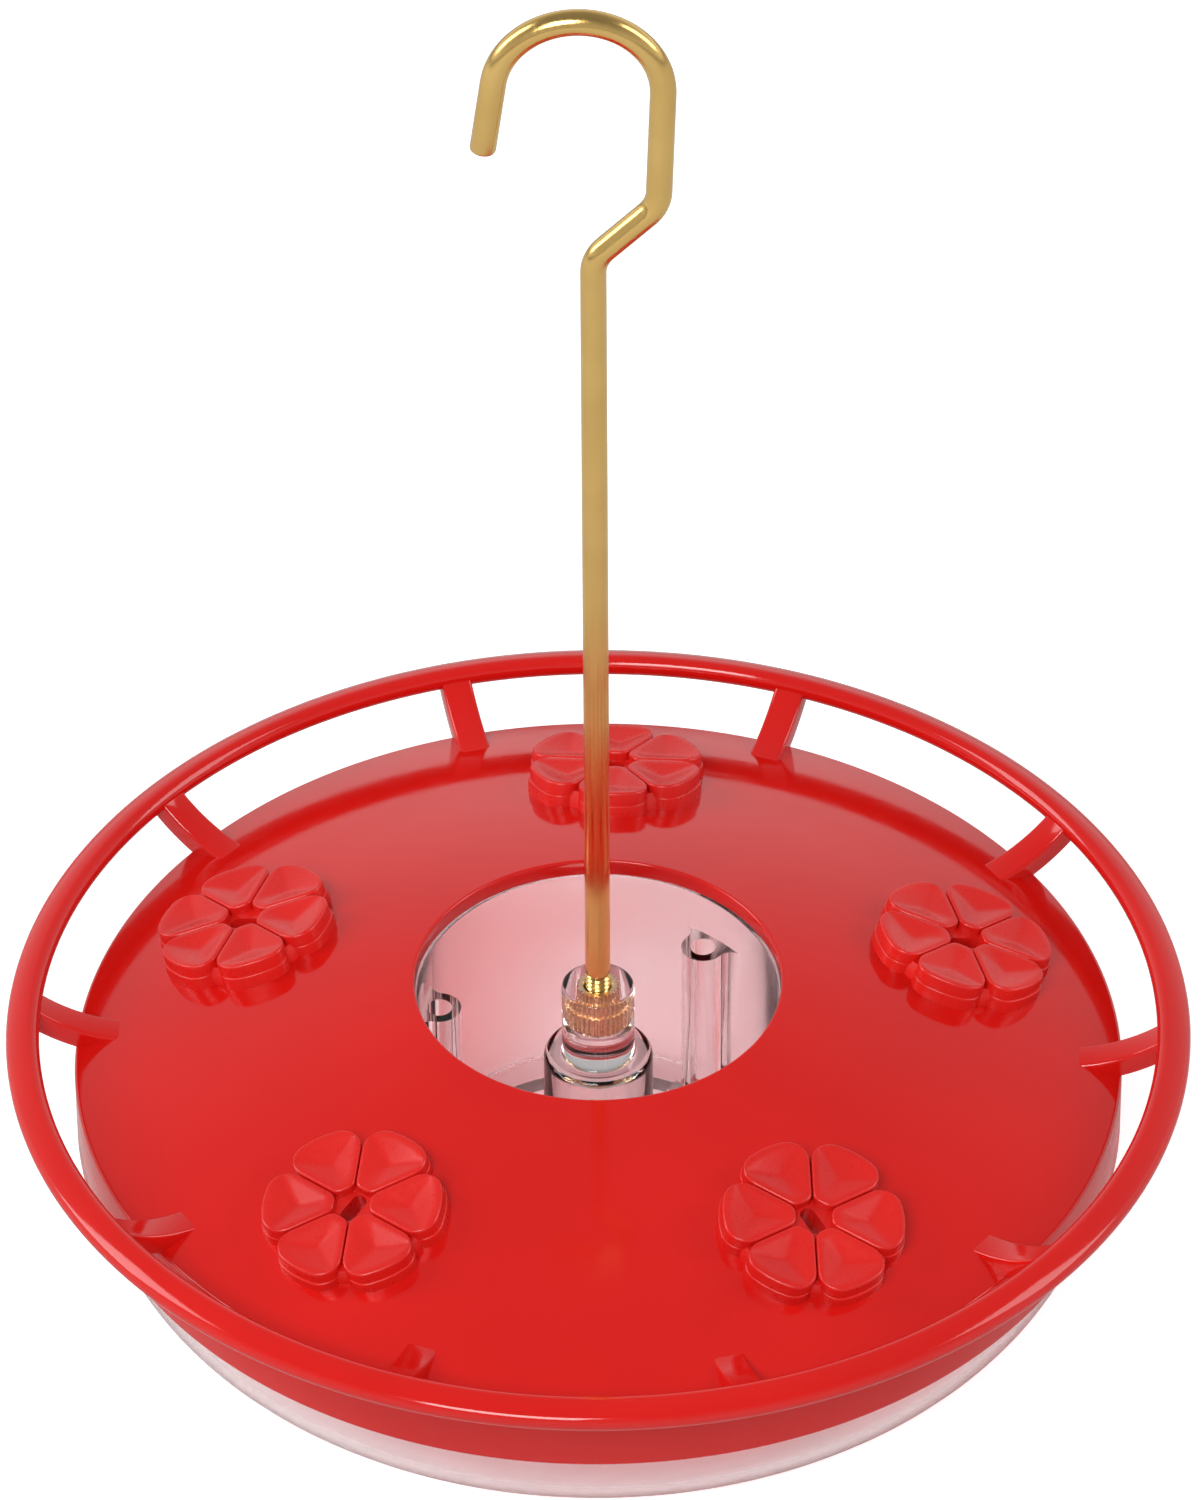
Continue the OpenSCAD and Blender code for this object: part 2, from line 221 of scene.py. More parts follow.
def noise(tree, scale, detail=2.0, stretch=(1, 1, 1)):
    """Noise on the piece's own coordinates, with a scale in waves per metre."""
    place = tree.nodes.new("ShaderNodeTexCoord")
    fit = tree.nodes.new("ShaderNodeMapping")
    fit.inputs["Scale"].default_value = stretch
    texture = tree.nodes.new("ShaderNodeTexNoise")
    texture.inputs["Scale"].default_value = scale
    texture.inputs["Detail"].default_value = detail
    tree.links.new(place.outputs["Object"], fit.inputs["Vector"])
    tree.links.new(fit.outputs["Vector"], texture.inputs["Vector"])
    return texture.outputs["Fac"]


def vary_roughness(tree, shader, source, low, high):
    """Lets a pattern move the roughness between two values."""
    spread = tree.nodes.new("ShaderNodeMapRange")
    spread.inputs["From Min"].default_value = 0.3
    spread.inputs["From Max"].default_value = 0.7
    spread.inputs["To Min"].default_value = low
    spread.inputs["To Max"].default_value = high
    tree.links.new(source, spread.inputs["Value"])
    tree.links.new(spread.outputs["Result"], shader.inputs["Roughness"])


def vary_colour(tree, shader, source, first, second):
    """Lets a pattern move the colour between two values."""
    ramp = tree.nodes.new("ShaderNodeValToRGB")
    ramp.color_ramp.elements[0].position = 0.3
    ramp.color_ramp.elements[0].color = (*first, 1)
    ramp.color_ramp.elements[1].position = 0.7
    ramp.color_ramp.elements[1].color = (*second, 1)
    tree.links.new(source, ramp.inputs["Fac"])
    tree.links.new(ramp.outputs["Color"], shader.inputs["Base Color"])


def raise_bumps(tree, shader, source, strength, distance):
    """Lets a pattern stand up from the surface, with a height in metres."""
    bump = tree.nodes.new("ShaderNodeBump")
    bump.inputs["Strength"].default_value = strength
    bump.inputs["Distance"].default_value = distance
    tree.links.new(source, bump.inputs["Height"])
    tree.links.new(bump.outputs["Normal"], shader.inputs["Normal"])


def glossy_red(name):
    """The cover's smooth moulded plastic."""
    material, tree, shader = new_material(name)
    vary_colour(tree, shader, noise(tree, 22), (0.60, 0.0065, 0.0045), (0.66, 0.008, 0.0055))
    vary_roughness(tree, shader, noise(tree, 260, 4), 0.07, 0.12)
    raise_bumps(tree, shader, noise(tree, 700, 1), 0.05, 0.0001)
    return material


def roof_red():
    """The same plastic where it is a thin wall, which tints the lamp light that it lets through."""
    material = glossy_red("roof_red_plastic")
    tree = material.node_tree
    pass_lamps(tree, tree.nodes["Principled BSDF"], (0.95, 0.13, 0.16))
    return material


def pass_lamps(tree, shader, colour):
    """Lets lamp light on its way to other surfaces pass through, in a colour."""
    path = tree.nodes.new("ShaderNodeLightPath")
    film = tree.nodes.new("ShaderNodeBsdfTransparent")
    film.inputs["Color"].default_value = (*colour, 1)
    mix = tree.nodes.new("ShaderNodeMixShader")
    output = tree.nodes["Material Output"]
    tree.links.new(path.outputs["Is Shadow Ray"], mix.inputs["Fac"])
    tree.links.new(shader.outputs["BSDF"], mix.inputs[1])
    tree.links.new(film.outputs["BSDF"], mix.inputs[2])
    tree.links.new(mix.outputs["Shader"], output.inputs["Surface"])


def satin_red():
    """The flowers' plastic, with the fine grain of an eroded mould."""
    material, tree, shader = new_material("satin_red_plastic")
    vary_colour(tree, shader, noise(tree, 60), (0.62, 0.009, 0.0065), (0.70, 0.012, 0.008))
    vary_roughness(tree, shader, noise(tree, 900, 3), 0.26, 0.36)
    raise_bumps(tree, shader, noise(tree, 5200, 1), 0.25, 0.00004)
    return material


def clear_plastic():
    """The polished plastic of the hub, the tubes and the moat's floor."""
    material, tree, shader = new_material("clear_plastic")
    shader.inputs["Base Color"].default_value = (1.0, 0.965, 0.97, 1)
    shader.inputs["Transmission Weight"].default_value = 1
    shader.inputs["IOR"].default_value = 1.49
    vary_roughness(tree, shader, noise(tree, 300, 3), 0.01, 0.04)
    raise_bumps(tree, shader, noise(tree, 260, 1), 0.04, 0.0001)
    pass_lamps(tree, shader, (0.93, 0.90, 0.91))
    return material


def frosted_plastic():
    """The same plastic with the finely ground finish of the moat's wall and the dish."""
    material, tree, shader = new_material("frosted_clear_plastic")
    shader.inputs["Base Color"].default_value = (1.0, 0.97, 0.975, 1)
    shader.inputs["Transmission Weight"].default_value = 1
    shader.inputs["IOR"].default_value = 1.22
    vary_roughness(tree, shader, noise(tree, 900, 3), 0.09, 0.14)
    raise_bumps(tree, shader, noise(tree, 3000, 1), 0.1, 0.00003)
    pass_lamps(tree, shader, (0.93, 0.90, 0.91))
    return material


def satin_brass():
    """The rod's brass, drawn lengthwise."""
    material, tree, shader = new_material("satin_brass")
    shader.inputs["Metallic"].default_value = 1
    vary_colour(tree, shader, noise(tree, 90, 3), (0.74, 0.48, 0.155), (0.81, 0.54, 0.185))
    vary_roughness(tree, shader, noise(tree, 1500, 3, (1, 1, 0.03)), 0.14, 0.24)
    raise_bumps(tree, shader, noise(tree, 4200, 2, (1, 1, 0.02)), 0.06, 0.00002)
    return material


def insert_brass():
    """The insert's machined brass."""
    material, tree, shader = new_material("machined_brass")
    shader.inputs["Metallic"].default_value = 1
    vary_colour(tree, shader, noise(tree, 700, 2), (0.84, 0.60, 0.38), (0.93, 0.70, 0.48))
    vary_roughness(tree, shader, noise(tree, 2500, 2), 0.22, 0.38)
    raise_bumps(tree, shader, noise(tree, 6000, 2, (0.2, 0.2, 1)), 0.15, 0.00002)
    return material


# Cover


def cover_shell():
    """The cone of the roof with its skirt and collar, and a window under each feed slot."""
    inner_r = COVER_R - COVER_WALL
    near, far = FLOWER_PITCH_R - WINDOW_REACH, FLOWER_PITCH_R + WINDOW_REACH
    bm = turned([
        (HOLE_R, COLLAR_Z), (HOLE_R, RIM_Z), (near, roof_z(near)), (far, roof_z(far)),
        (COVER_R, EAVE_Z), (COVER_R, SKIRT_Z), (inner_r, SKIRT_Z),
        (inner_r, roof_z(inner_r) - ROOF_WALL), (far, roof_z(far) - ROOF_WALL),
        (near, roof_z(near) - ROOF_WALL),
        (HOLE_R + COVER_WALL, roof_z(HOLE_R + COVER_WALL) - ROOF_WALL),
        (HOLE_R + COVER_WALL, COLLAR_Z)])
    round_ring(bm, COVER_R, EAVE_Z, 0.7, 5)
    round_ring(bm, HOLE_R, RIM_Z, 0.6, 5)
    round_ring(bm, HOLE_R, COLLAR_Z, 0.3, 3)
    round_ring(bm, COVER_R, SKIRT_Z, 0.3, 3)
    round_ring(bm, inner_r, SKIRT_Z, 0.3, 3)
    for turn in FLOWER_TURNS:
        open_window(bm, math.radians(turn), near, far)
    return put_in_scene(bm, "cover_shell", ROOF_RED, 50)


def open_window(bm, turn, near, far):
    """Takes out the roof between two radii at a direction, above and below, and lines the hole."""
    def in_window(face):
        middle = face.calc_center_median()
        r = math.hypot(middle.x, middle.y)
        aside = math.atan2(middle.y, middle.x) - turn
        aside = (aside + math.pi) % (2 * math.pi) - math.pi
        return near < r < far and abs(aside) < math.radians(1.4)
    taken = [f for f in bm.faces if in_window(f)]
    bmesh.ops.delete(bm, geom=taken, context="FACES")
    rims = [e for e in bm.edges if e.is_boundary]
    bmesh.ops.bridge_loops(bm, edges=rims)


def perch_ring():
    """The ring's oval section, tilted outer side down, turned round the axis."""
    bm = bmesh.new()
    bmesh.ops.create_circle(bm, segments=24, radius=PERCH_ROUND, matrix=Matrix.Rotation(math.pi / 2, 4, "X"))
    for side in (1, -1):
        half = [v for v in bm.verts if v.co.x * side > 0.001]
        bmesh.ops.translate(bm, vec=(PERCH_SPREAD * side, 0, 0), verts=half)
    bmesh.ops.rotate(bm, cent=(0, 0, 0), matrix=Matrix.Rotation(PERCH_TILT, 3, "Y"), verts=bm.verts)
    bmesh.ops.translate(bm, vec=(PERCH_R, 0, PERCH_Z), verts=bm.verts)
    bmesh.ops.spin(bm, geom=bm.verts[:] + bm.edges[:], cent=(0, 0, 0), axis=(0, 0, 1),
                   angle=2 * math.pi, steps=TURN_STEPS, use_merge=True)
    bmesh.ops.remove_doubles(bm, verts=bm.verts, dist=0.001)
    bmesh.ops.recalc_face_normals(bm, faces=bm.faces)
    return put_in_scene(bm, "perch_ring", GLOSSY_RED)


def strut_shape():
    """Where a strut's upper face starts and ends, and the centre of its arc, in the upright plane."""
    foot = Vector((STRUT_FOOT_R, roof_z(STRUT_FOOT_R) - 0.1))
    outwards = Vector((math.cos(PERCH_TILT), -math.sin(PERCH_TILT)))
    inner = Vector((PERCH_R, PERCH_Z)) - PERCH_SPREAD * outwards
    end = inner + Vector((0, 1.8))
    up = Vector((-math.sin(math.radians(6)), math.cos(math.radians(6))))
    chord = end - foot
    arc_r = chord.length_squared / (2 * chord.dot(up))
    return foot, end, foot + arc_r * up, arc_r


def strut_bar():
    """A bar of the strut's section, swept along its arc from inside the roof to inside the ring."""
    foot, end, centre, arc_r = strut_shape()
    bm = bmesh.new()
    bmesh.ops.create_grid(bm, x_segments=1, y_segments=1, size=0.5)
    bmesh.ops.scale(bm, vec=(STRUT_WIDTH, STRUT_THICKNESS, 1), verts=bm.verts)
    bmesh.ops.bevel(bm, geom=bm.verts[:], offset=0.7, segments=4, profile=0.5, affect="VERTICES",
                    material=-1)
    bmesh.ops.rotate(bm, cent=(0, 0, 0), matrix=Matrix.Rotation(math.pi / 2, 3, "X"), verts=bm.verts)
    bmesh.ops.rotate(bm, cent=(0, 0, 0), matrix=Matrix.Rotation(math.pi / 2, 3, "Z"), verts=bm.verts)
    place = Vector((centre.x, 0, centre.y - arc_r - STRUT_THICKNESS / 2))
    bmesh.ops.translate(bm, vec=place, verts=bm.verts)
    start = math.atan2(foot.x - centre.x, centre.y - foot.y) - math.radians(9)
    stop = math.atan2(end.x - centre.x, centre.y - end.y) + math.radians(0.5)
    pivot = (centre.x, 0, centre.y)
    bmesh.ops.rotate(bm, cent=pivot, matrix=Matrix.Rotation(-start, 3, "Y"), verts=bm.verts)
    bmesh.ops.spin(bm, geom=bm.faces[:], cent=pivot, axis=(0, 1, 0), angle=start - stop, steps=16)
    bmesh.ops.remove_doubles(bm, verts=bm.verts, dist=0.001)
    bmesh.ops.recalc_face_normals(bm, faces=bm.faces)
    return bm


def keep_side(bm, point, normal):
    """Cuts a solid by a plane, keeps the side that the normal leaves, and closes the cut."""
    bmesh.ops.bisect_plane(bm, geom=bm.verts[:] + bm.edges[:] + bm.faces[:], dist=0.0001,
                           plane_co=point, plane_no=normal, clear_outer=True)
    bmesh.ops.holes_fill(bm, edges=[e for e in bm.edges if e.is_boundary])


def perch_struts():
    """Ten curved struts that rise from the roof's edge to the ring."""
    root_r = COVER_R - COVER_WALL / 2
    whole = bmesh.new()
    for outer in (True, False):
        bm = strut_bar()
        if outer:
            keep_side(bm, (root_r, 0, 0), (-1, 0, 0))
        else:
            keep_side(bm, (root_r, 0, 0), (1, 0, 0))
            keep_side(bm, (root_r, 0, roof_z(root_r) - ROOF_WALL / 2), (-ROOF_RISE, 0, -1))
        add_copy(whole, bm)
        bm.free()
    return turned_copies(whole, STRUT_TURNS, "perch_struts", GLOSSY_RED, 40)


def add_copy(whole, bm):
    """Adds a copy of one bmesh to another."""
    mesh = bpy.data.meshes.new("copy")
    bm.to_mesh(mesh)
    whole.from_mesh(mesh)
    bpy.data.meshes.remove(mesh)


def add_turned(whole, one, turns):
    """Adds a shape to another at the given directions round the axis, in degrees, and frees it."""
    mesh = bpy.data.meshes.new("copy")
    one.to_mesh(mesh)
    one.free()
    for turn in turns:
        before = len(whole.verts)
        whole.from_mesh(mesh)
        whole.verts.ensure_lookup_table()
        bmesh.ops.rotate(whole, cent=(0, 0, 0), matrix=Matrix.Rotation(math.radians(turn), 3, "Z"),
                         verts=whole.verts[before:])
    bpy.data.meshes.remove(mesh)


def turned_copies(one, turns, name, material, smooth_angle):
    """Repeats a shape round the axis at the given directions, as one piece."""
    whole = bmesh.new()
    add_turned(whole, one, turns)
    return put_in_scene(whole, name, material, smooth_angle)


def petal_outline(bm, out_r, gap):
    """One petal along X: straight sides beside the grooves, and round ends."""
    half = 30
    corner = 4.0
    out = out_r - corner
    lean = half - math.degrees(math.asin((gap + corner) / out))
    middle = out * Vector((math.cos(math.radians(lean)), -math.sin(math.radians(lean)), 0))
    square = math.radians(-90 - half)
    edge = middle + corner * Vector((math.cos(square), math.sin(square), 0))
    start = bm.verts.new(edge)
    tip = arc(bm, start, middle, 90 + half - lean, 7)
    over = arc(bm, tip, (0, 0, 0), 2 * lean, 3)
    end = arc(bm, over, (middle.x, -middle.y, 0), 90 + half - lean, 7)
    inner_x = THROAT_R * math.cos(math.radians(20))
    inner_y = inner_x * math.tan(math.radians(half)) - gap / math.cos(math.radians(half))
    low = bm.verts.new((inner_x, -inner_y, 0))
    high = bm.verts.new((inner_x, inner_y, 0))
    for pair in ((start, low), (low, high), (high, end)):
        bm.edges.new(pair)
    fill_outline(bm)
    bmesh.ops.bevel(bm, geom=[low, high], offset=1.1, segments=4, profile=0.5, affect="VERTICES",
                    material=-1)
    return bm.faces[:][0]


def petal_block(out_r, gap, low, high, rounding):
    """A petal's outline raised between two heights, with a round upper edge."""
    bm = bmesh.new()
    face = petal_outline(bm, out_r, gap)
    for v in face.verts:
        v.co.z = low
    raise_solid(bm, face, high)
    crown = [e for e in bm.edges if all(abs(v.co.z - high) < 0.001 for v in e.verts)]
    bmesh.ops.bevel(bm, geom=crown, offset=rounding, offset_type="OFFSET", segments=4, profile=0.5,
                    affect="EDGES", material=-1, clamp_overlap=True)
    return bm


def petal():
    """A petal on its step, with a dish pressed into its top."""
    bm = petal_block(FLOWER_R, 0.3, -1.2, FLOWER_STEP, 0.3)
    upper = petal_block(UPPER_PETAL_R, 0.12, FLOWER_STEP - 1.2, FLOWER_TOP, 0.5)
    top = max(upper.faces, key=lambda f: f.calc_area() if f.normal.z > 0.99 else 0)
    dish(upper, top)
    add_copy(bm, upper)
    upper.free()
    return bm


def dish(bm, top):
    """Cuts a petal's top into a fine grid and presses the dish into it."""
    bmesh.ops.inset_region(bm, faces=[top], thickness=0.15, use_even_offset=True)
    spacing = 0.6
    for axis, reach in ((0, FLOWER_R), (1, FLOWER_R * 0.6)):
        steps = int(reach / spacing)
        for i in range(-steps, steps + 1):
            point = [0, 0, 0]
            point[axis] = i * spacing + 0.03
            normal = [0, 0, 0]
            normal[axis] = 1
            flat = [f for f in bm.faces if f.normal.z > 0.9999
                    and all(abs(v.co.z - FLOWER_TOP) < 0.001 for v in f.verts)]
            part = flat + list({e for f in flat for e in f.edges}) + list({v for f in flat for v in f.verts})
            bmesh.ops.bisect_plane(bm, geom=part, dist=0.0001, plane_co=point, plane_no=normal)
    for v in bm.verts:
        if abs(v.co.z - FLOWER_TOP) < 0.001:
            v.co.z -= dish_depth(v.co.x, v.co.y)


def dish_depth(x, y):
    """Depth of a petal's dish: slopes that fall from its sides and ends to one low point."""
    low_r = 10.6
    rise = low_r * math.sin(math.radians(30))
    r = math.hypot(x, y)
    side = x * math.sin(math.radians(30)) - abs(y) * math.cos(math.radians(30)) - 0.12
    outer = (UPPER_PETAL_R - r) * rise / (UPPER_PETAL_R - low_r)
    inner = (r - THROAT_R + 0.3) * rise / (low_r - THROAT_R + 0.3)
    nearest = soft_least(soft_least(side, outer, 0.3), inner, 0.3)
    inside = max(0, nearest - 0.95)
    return 0.33 * inside * min(1, 0.25 + inside / 0.8)


def soft_least(first, second, blend):
    """The smaller of two values, with a round corner where they are equal."""
    gap = first - second
    return 0.5 * (first + second - math.sqrt(gap * gap + blend * blend))


def throat():
    """The boss under a flower's middle, with the throat's floor and the feed slot through it."""
    bm = bmesh.new()
    low = -ROOF_WALL - PORT_DEPTH
    bmesh.ops.create_circle(bm, segments=48, radius=1.5)
    for side in (1, -1):
        half = [v for v in bm.verts if v.co.x * side > 0.001]
        bmesh.ops.translate(bm, vec=(1.6 * side, 0, 0), verts=half)
    slot = bm.edges[:]
    rim = bmesh.ops.create_circle(bm, segments=48, radius=5.3)["verts"]
    ring = list({e for v in rim for e in v.link_edges})
    bmesh.ops.bridge_loops(bm, edges=slot + ring)
    bmesh.ops.translate(bm, vec=(0, 0, low), verts=bm.verts)
    pulled = bmesh.ops.extrude_face_region(bm, geom=bm.faces[:])["geom"]
    raised = [g for g in pulled if isinstance(g, bmesh.types.BMVert)]
    bmesh.ops.translate(bm, vec=(0, 0, THROAT_FLOOR - low), verts=raised)
    bmesh.ops.recalc_face_normals(bm, faces=bm.faces)
    lip = [e for e in bm.edges if all(v.co.z > THROAT_FLOOR - 0.01 and v.co.length < 3.5 for v in e.verts)]
    lip = [e for e in lip if e.calc_face_angle(0) > 1]
    bmesh.ops.bevel(bm, geom=lip, offset=0.2, offset_type="OFFSET", segments=3, profile=0.5,
                    affect="EDGES", material=-1, clamp_overlap=True)
    return bm


def groove_floor():
    """The disc that shows at the bottom of the grooves between petals."""
    return turned([
        (THROAT_R + 0.3, -1.2), (THROAT_R + 0.3, 3.0), (FLOWER_R - 3.2, 3.0), (FLOWER_R - 2.4, 1.6),
        (FLOWER_R - 2.4, -1.2)], steps=72)


def flower_ports():
    """Five flowers of six petals, each square to the roof with a throat and a feed slot."""
    one = bmesh.new()
    add_turned(one, petal(), [60 * i for i in range(6)])
    for part in (throat(), groove_floor()):
        add_copy(one, part)
        part.free()
    bmesh.ops.rotate(one, cent=(0, 0, 0), matrix=Matrix.Rotation(ROOF_ANGLE, 3, "Y"), verts=one.verts)
    bmesh.ops.translate(one, vec=(FLOWER_PITCH_R, 0, roof_z(FLOWER_PITCH_R)), verts=one.verts)
    return turned_copies(one, FLOWER_TURNS, "flower_ports", SATIN_RED, 40)


# Bowl


def bowl_body():
    """The dish, the moat in its middle and the hub, as one wall turned round the axis."""
    lean = math.tan(SIDE_DRAFT)
    inner_rim_r = BOWL_RIM_R - BOWL_WALL
    outer_wall_r = MOAT_RIM_R + BOWL_WALL
    under_z = MOAT_FLOOR_Z - BOWL_WALL
    draft = (MOAT_RIM_R - MOAT_FLOOR_R) / (MOAT_RIM_Z - MOAT_FLOOR_Z)
    under_r = MOAT_FLOOR_R - draft * MOAT_FLOOR_Z
    wall_r = MOAT_FLOOR_R - draft * under_z
    corner = (BOWL_RIM_R - BOWL_RIM_Z * lean, 0)
    inside = (inner_rim_r - (BOWL_RIM_Z - BOWL_WALL) * lean, BOWL_WALL)
    bm = turned([
        (0, COLUMN_HOLLOW_Z), (COLUMN_HOLLOW_R, COLUMN_HOLLOW_Z), (COLUMN_HOLLOW_R, under_z),
        (under_r + draft * under_z, under_z), (under_r, 0), corner, (BOWL_RIM_R, BOWL_RIM_Z),
        (inner_rim_r, BOWL_RIM_Z), inside, (wall_r + BOWL_WALL, BOWL_WALL), (outer_wall_r, MOAT_RIM_Z),
        (MOAT_RIM_R, MOAT_RIM_Z), (MOAT_FLOOR_R, MOAT_FLOOR_Z), (COLUMN_R, MOAT_FLOOR_Z),
        (COLUMN_R, COLUMN_TOP_Z), (HUB_R, COLUMN_TOP_Z), (HUB_R, HUB_TOP_Z), (POCKET_R, HUB_TOP_Z),
        (POCKET_R, POCKET_Z), (0, POCKET_Z)], closed=False)
    round_ring(bm, *corner, FOOT_ROUND, 16)
    round_ring(bm, *inside, FOOT_ROUND_INSIDE, 16)
    for r, z in ((BOWL_RIM_R, BOWL_RIM_Z), (inner_rim_r, BOWL_RIM_Z), (MOAT_RIM_R, MOAT_RIM_Z),
                 (outer_wall_r, MOAT_RIM_Z)):
        round_ring(bm, r, z, 0.5)
    round_ring(bm, COLUMN_R, COLUMN_TOP_Z, 1.7, 8)
    round_ring(bm, HUB_R, HUB_TOP_Z, 0.6, 4)
    round_ring(bm, HUB_R, COLUMN_TOP_Z, 0.8, 4)
    round_ring(bm, COLUMN_R, MOAT_FLOOR_Z, 0.8, 4)
    round_ring(bm, MOAT_FLOOR_R, MOAT_FLOOR_Z, 0.8, 4)
    return put_in_scene(bm, "bowl", CLEAR_PLASTIC, 30)


def screw_tube(turn):
    """A tube against the moat's wall, with a fillet on each side."""
    wall_r = MOAT_FLOOR_R + (TUBE_TOP_Z - MOAT_FLOOR_Z) * MOAT_FLARE / (MOAT_RIM_Z - MOAT_FLOOR_Z) + 0.1
    reach = wall_r - TUBE_FILLET_R
    joined = TUBE_R + TUBE_FILLET_R
    swing = math.acos((reach ** 2 + TUBE_PITCH_R ** 2 - joined ** 2) / (2 * reach * TUBE_PITCH_R))
    bm = bmesh.new()
    centre = reach * Vector((math.cos(swing), -math.sin(swing), 0))
    tube = Vector((TUBE_PITCH_R, 0, 0))
    touch = tube + (centre - tube).normalized() * TUBE_R
    turn_back = math.degrees(math.atan2((touch - centre).y, (touch - centre).x))
    wall_way = -math.degrees(swing)
    start = bm.verts.new(centre + TUBE_FILLET_R * Vector((math.cos(-swing), math.sin(-swing), 0)))
    sweep = (turn_back - wall_way) % 360
    met = arc(bm, start, centre, sweep, 8)
    aside = math.degrees(math.atan2((touch - tube).y, (touch - tube).x)) % 360
    far = arc(bm, met, tube, -2 * abs(aside - 180), 20)
    last = arc(bm, far, (centre.x, -centre.y, 0), sweep, 8)
    deep = 1.2
    low = bm.verts.new(start.co * (wall_r + deep) / wall_r)
    high = bm.verts.new(last.co * (wall_r + deep) / wall_r)
    for pair in ((start, low), (low, high), (high, last)):
        bm.edges.new(pair)
    face = fill_outline(bm)
    for v in face.verts:
        v.co.z = MOAT_FLOOR_Z - 1
    raise_solid(bm, face, TUBE_TOP_Z)
    bmesh.ops.rotate(bm, cent=(0, 0, 0), matrix=Matrix.Rotation(math.radians(turn), 3, "Z"), verts=bm.verts)
    return put_in_scene(bm, "screw_tube", CLEAR_PLASTIC, 30)


def raise_solid(bm, face, top):
    """Makes a closed prism of a face, up to a height."""
    pulled = bmesh.ops.extrude_face_region(bm, geom=[face], use_keep_orig=True)["geom"]
    for g in pulled:
        if isinstance(g, bmesh.types.BMVert):
            g.co.z = top
    bmesh.ops.recalc_face_normals(bm, faces=bm.faces)


def tube_bore(turn):
    """The hole through a screw tube."""
    bm = bmesh.new()
    bmesh.ops.create_cone(bm, cap_ends=True, segments=48, radius1=TUBE_HOLE_R, radius2=TUBE_HOLE_R,
                          depth=40)
    bmesh.ops.translate(bm, vec=(TUBE_PITCH_R, 0, 26.5), verts=bm.verts)
    bmesh.ops.rotate(bm, cent=(0, 0, 0), matrix=Matrix.Rotation(math.radians(turn), 3, "Z"), verts=bm.verts)
    return put_in_scene(bm, "tube_bore", CLEAR_PLASTIC, 30)


def bowl():
    """The whole clear moulding."""
    body = bowl_body()
    combine(body, [screw_tube(turn) for turn in TUBE_TURNS], "UNION")
    combine(body, [tube_bore(turn) for turn in TUBE_TURNS], "DIFFERENCE")
    soften(body, 30)
    frost(body)
    return body


def frost(body):
    """Gives the moat's wall and the dish round it their ground finish."""
    body.data.materials.append(FROSTED_PLASTIC)
    for polygon in body.data.polygons:
        if math.hypot(polygon.center.x, polygon.center.y) > 0.033:
            polygon.material_index = 1


# Brass


def threaded_insert():
    """A bush with two knurled bands, a groove between them and a countersunk hole."""
    base = HUB_TOP_Z - INSERT_LENGTH
    points = KNURL_RIBS * 4
    start_r = 3.9
    bm = bmesh.new()
    bmesh.ops.create_circle(bm, segments=points, radius=start_r)
    bm.verts.ensure_lookup_table()
    crests = [v for i, v in enumerate(bm.verts) if i % 4 in (0, 1)]
    for v in crests:
        v.co = v.co * (INSERT_R / start_r)
    for v in bm.verts:
        if v not in crests:
            v.co = v.co * (INSERT_VALLEY_R / start_r)
    bmesh.ops.translate(bm, vec=(0, 0, base), verts=bm.verts)
    ring = bm.edges[:]
    for height, scale in ((4.3, 1), (4.31, 0.9), (5.39, 0.9), (5.4, 1), (INSERT_LENGTH, 1)):
        made = bmesh.ops.extrude_edge_only(bm, edges=ring)["geom"]
        ring = [g for g in made if isinstance(g, bmesh.types.BMEdge)]
        verts = [g for g in made if isinstance(g, bmesh.types.BMVert)]
        for v in verts:
            v.co.z = base + height
        grow = scale / current_scale(verts)
        bmesh.ops.scale(bm, vec=(grow, grow, 1), verts=verts)
    for level in (base, HUB_TOP_Z):
        edges = [e for e in bm.edges if e.is_boundary and all(abs(v.co.z - level) < 0.001 for v in e.verts)]
        hole_r = COUNTERSINK_R if level > base else INSERT_HOLE_R
        hole = bmesh.ops.create_circle(bm, segments=points, radius=hole_r)["verts"]
        bmesh.ops.translate(bm, vec=(0, 0, level), verts=hole)
        inner = [e for v in hole for e in v.link_edges]
        bmesh.ops.bridge_loops(bm, edges=list(set(edges + inner)))
    bores = [e for e in bm.edges if e.is_boundary]
    top = [e for e in bores if e.verts[0].co.z > base + 1]
    made = bmesh.ops.extrude_edge_only(bm, edges=top)["geom"]
    verts = [g for g in made if isinstance(g, bmesh.types.BMVert)]
    narrow = INSERT_HOLE_R / COUNTERSINK_R
    bmesh.ops.scale(bm, vec=(narrow, narrow, 1), verts=verts)
    bmesh.ops.translate(bm, vec=(0, 0, -0.5), verts=verts)
    bmesh.ops.bridge_loops(bm, edges=[e for e in bm.edges if e.is_boundary])
    bmesh.ops.recalc_face_normals(bm, faces=bm.faces)
    crown = [v for v in bm.verts if v.co.z > HUB_TOP_Z - 0.01]
    bmesh.ops.translate(bm, vec=(0, 0, 0.08), verts=crown)
    return put_in_scene(bm, "threaded_insert", INSERT_BRASS, 25)


def current_scale(verts):
    """Size of a knurled ring against its full size."""
    return max(math.hypot(v.co.x, v.co.y) for v in verts) / INSERT_R


